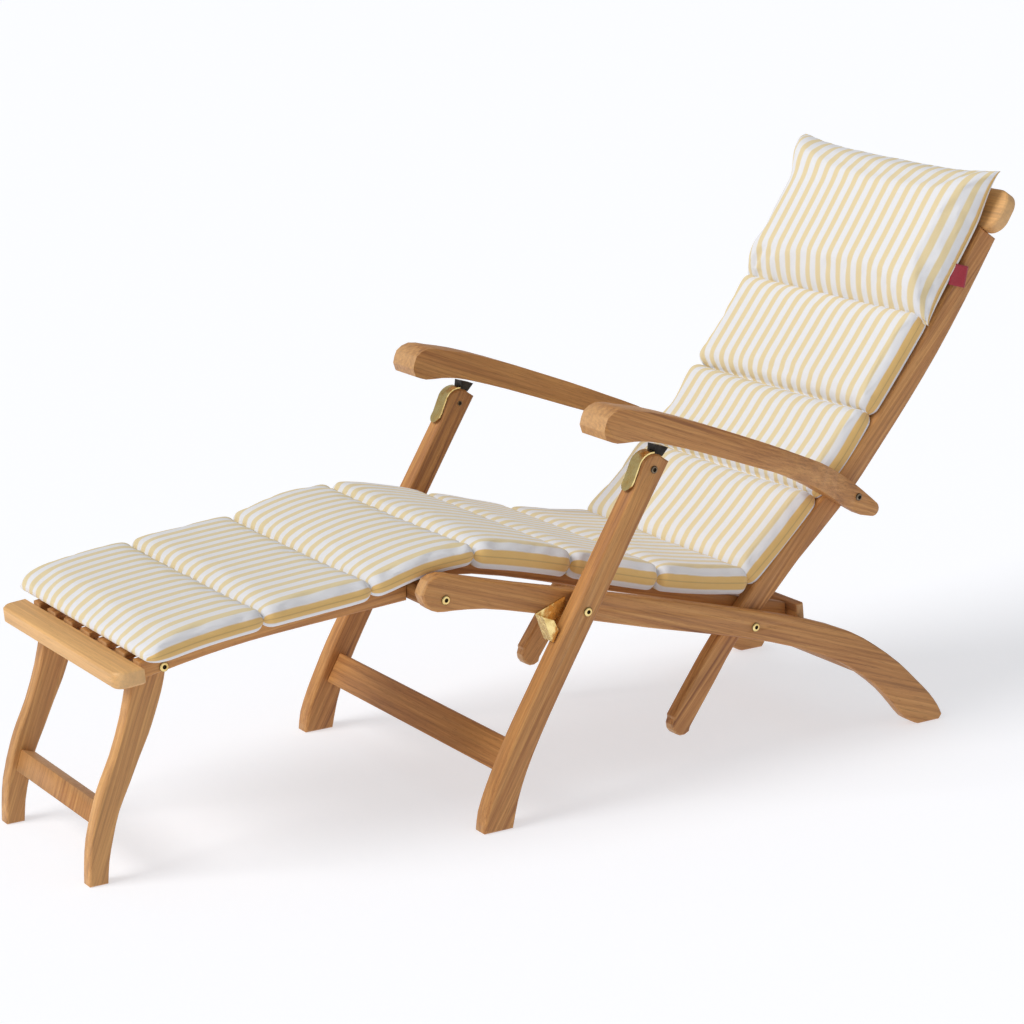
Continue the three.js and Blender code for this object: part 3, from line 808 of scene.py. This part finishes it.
# ---------- floor, light and camera ----------
studio = {
    "sky": 0.37, "backdrop": 1.05,
    "key": 2.2, "keySpread": 34.0, "keyFrom": (-0.4, -3.6, 3.3),
    "fill": 3.0, "fillSize": 2.6, "fillFrom": (4.0, 1.2, 2.6), "fillAt": (0, 0, 0.4),
    "floorRadius": 60.0, "floorSides": 96, "floorDrop": 0.0005,
    "floorTone": (0.52, 0.52, 0.53), "floorGlow": (0.54, 0.55, 0.575),
}
view = {
    "azimuth": 57.084, "elevation": 14.632, "lens": 98.37, "sensor": 36.0,
    "place": (3.771145, -2.453636 + shiftY, 1.592856),
}


def makeFloor():
    # a wide pale disc just under the chair
    count, wide = studio["floorSides"], studio["floorRadius"]
    angle = np.linspace(0, 2 * np.pi, count, endpoint=False)
    rim = np.stack([wide * np.cos(angle), wide * np.sin(angle), np.full(count, -studio["floorDrop"])], 1)
    mesh = bpy.data.meshes.new("floor")
    mesh.from_pydata(rim.tolist(), [], [list(range(count))])
    floor = bpy.data.objects.new("floor", mesh)
    bpy.context.scene.collection.objects.link(floor)
    material, tree, shader = newMaterial("pale_floor")
    shader.inputs["Base Color"].default_value = (*studio["floorTone"], 1)
    shader.inputs["Emission Color"].default_value = (*studio["floorGlow"], 1)
    shader.inputs["Emission Strength"].default_value = 1.0
    shader.inputs["Roughness"].default_value = 0.7
    shader.inputs["Specular IOR Level"].default_value = 0.1
    mesh.materials.append(material)


def standing(name, data, place, looking):
    # a lamp or camera at its place, turned to look along a direction
    holder = bpy.data.objects.new(name, data)
    holder.location = place
    holder.rotation_euler = looking.to_track_quat("-Z", "Y").to_euler()
    bpy.context.scene.collection.objects.link(holder)
    return holder


def makeSky():
    # a white backdrop to look at, and a dimmer sky to light the chair
    world = bpy.data.worlds.new("studio")
    bpy.context.scene.world = world
    world.use_nodes = True
    backdrop = world.node_tree.nodes["Background"]
    backdrop.inputs["Color"].default_value = (1, 1, 1, 1)
    seen = addNode(world.node_tree, "ShaderNodeLightPath").outputs["Is Camera Ray"]
    extra = studio["backdrop"] - studio["sky"]
    strength = maths(world.node_tree, "MULTIPLY_ADD", seen, extra, studio["sky"])
    world.node_tree.links.new(strength, backdrop.inputs["Strength"])


def makeLamps():
    # a wide soft sun towards the origin, and a weak square lamp that fills the shaded side
    key = bpy.data.lights.new("key", "SUN")
    key.energy = studio["key"]
    key.angle = math.radians(studio["keySpread"])
    standing("key", key, studio["keyFrom"], -Vector(studio["keyFrom"]))
    fill = bpy.data.lights.new("fill", "AREA")
    fill.size = studio["fillSize"]
    fill.energy = studio["fill"]
    standing("fill", fill, studio["fillFrom"], Vector(studio["fillAt"]) - Vector(studio["fillFrom"]))


def makeCamera():
    # looking down at the chair's front left corner, from its azimuth and elevation
    data = bpy.data.cameras.new("camera")
    data.lens = view["lens"]
    data.sensor_width = view["sensor"]
    turn, tilt = math.radians(view["azimuth"]), math.radians(view["elevation"])
    looking = Vector((-math.sin(turn) * math.cos(tilt), math.cos(turn) * math.cos(tilt), -math.sin(tilt)))
    bpy.context.scene.camera = standing("camera", data, view["place"], looking)


makeFloor()
bpy.context.scene.view_settings.view_transform = "Standard"
makeSky()
makeLamps()
makeCamera()

print("done")
